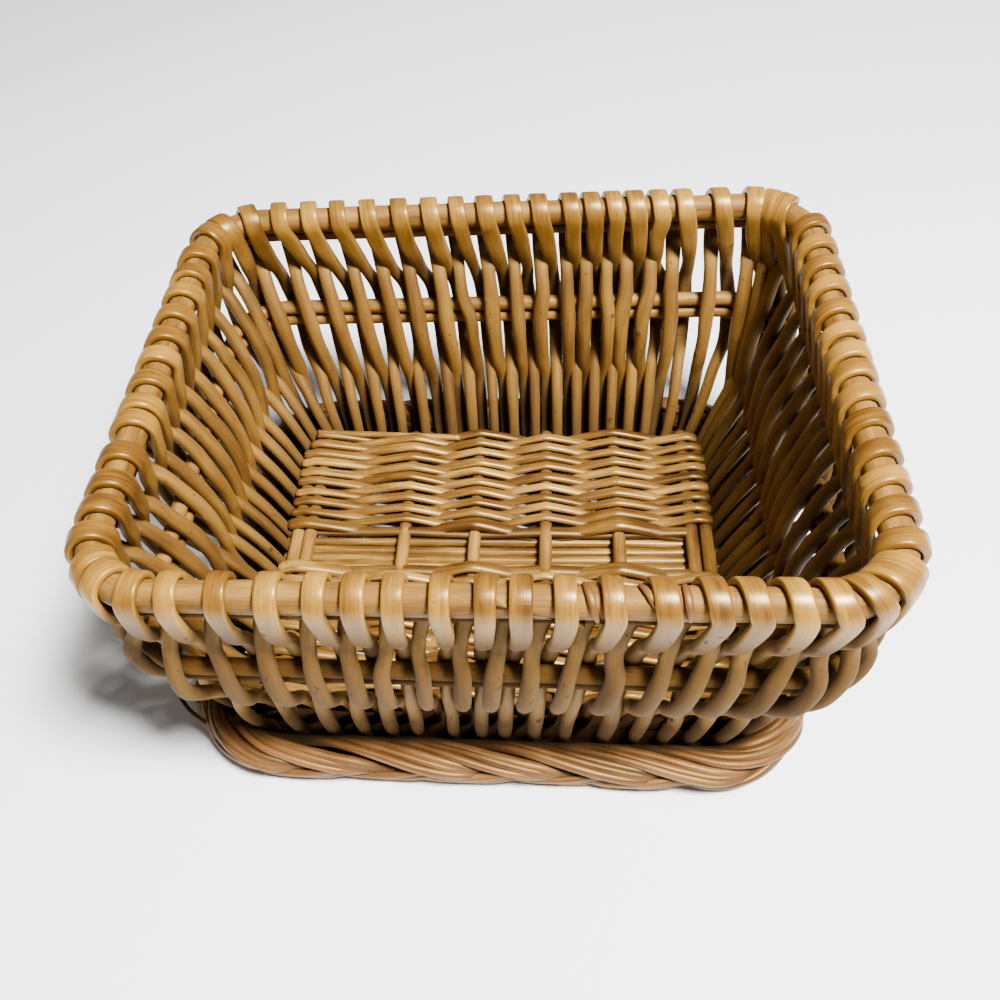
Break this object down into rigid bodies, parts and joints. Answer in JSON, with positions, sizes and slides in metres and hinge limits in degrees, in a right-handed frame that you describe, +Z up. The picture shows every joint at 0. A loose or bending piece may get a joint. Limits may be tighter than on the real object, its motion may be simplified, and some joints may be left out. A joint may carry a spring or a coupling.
{
  "type": "storage basket",
  "caption": "Rectangular open willow storage basket with flared walls of looped stakes over a thick rim rod, a woven base and a twisted foot border.",
  "frame": {"origin": "on the ground at the centre of the foot", "axes": "+X along the longer side, +Y towards the back, +Z up"},
  "size_m": [0.356, 0.3, 0.1664],
  "materials": {
    "golden_willow": "glossy boiled willow, golden brown with paler highlights on the loops",
    "honey_willow": "semi-gloss honey brown willow rod",
    "russet_willow": "semi-gloss reddish brown willow",
    "straw_willow": "semi-gloss pale straw willow"
  },
  "bodies": {
    "root": {"base_band_rod_1": "straw_willow", "base_band_rod_2": "straw_willow", "base_band_rod_3": "straw_willow", "base_band_rod_4": "straw_willow", "base_band_rod_5": "straw_willow", "base_stick_1": "honey_willow", "base_stick_2": "honey_willow", "base_stick_3": "honey_willow", "base_stick_4": "honey_willow", "base_stick_5": "honey_willow", "base_stick_6": "honey_willow", "base_stick_7": "honey_willow", "base_stick_8": "honey_willow", "base_weaver_back": "straw_willow", "base_weaver_front": "straw_willow", "foot_border_strand_1": "russet_willow", "foot_border_strand_2": "russet_willow", "foot_border_strand_3": "russet_willow", "foot_border_strand_4": "russet_willow", "mid_rod_lower": "honey_willow", "mid_rod_upper": "honey_willow", "rim_rod": "honey_willow", "stake_pair_back_01": "golden_willow", "stake_pair_back_02": "golden_willow", "stake_pair_back_03": "golden_willow", "stake_pair_back_04": "golden_willow", "stake_pair_back_05": "golden_willow", "stake_pair_back_06": "golden_willow", "stake_pair_back_07": "golden_willow", "stake_pair_back_08": "golden_willow", "stake_pair_back_09": "golden_willow", "stake_pair_back_10": "golden_willow", "stake_pair_front_01": "golden_willow", "stake_pair_front_02": "golden_willow", "stake_pair_front_03": "golden_willow", "stake_pair_front_04": "golden_willow", "stake_pair_front_05": "golden_willow", "stake_pair_front_06": "golden_willow", "stake_pair_front_07": "golden_willow", "stake_pair_front_08": "golden_willow", "stake_pair_front_09": "golden_willow", "stake_pair_front_10": "golden_willow", "stake_pair_left_01": "golden_willow", "stake_pair_left_02": "golden_willow", "stake_pair_left_03": "golden_willow", "stake_pair_left_04": "golden_willow", "stake_pair_left_05": "golden_willow", "stake_pair_left_06": "golden_willow", "stake_pair_left_07": "golden_willow", "stake_pair_left_08": "golden_willow", "stake_pair_right_01": "golden_willow", "stake_pair_right_02": "golden_willow", "stake_pair_right_03": "golden_willow", "stake_pair_right_04": "golden_willow", "stake_pair_right_05": "golden_willow", "stake_pair_right_06": "golden_willow", "stake_pair_right_07": "golden_willow", "stake_pair_right_08": "golden_willow", "under_rim_rod": "honey_willow"}
  },
  "joints": []
}
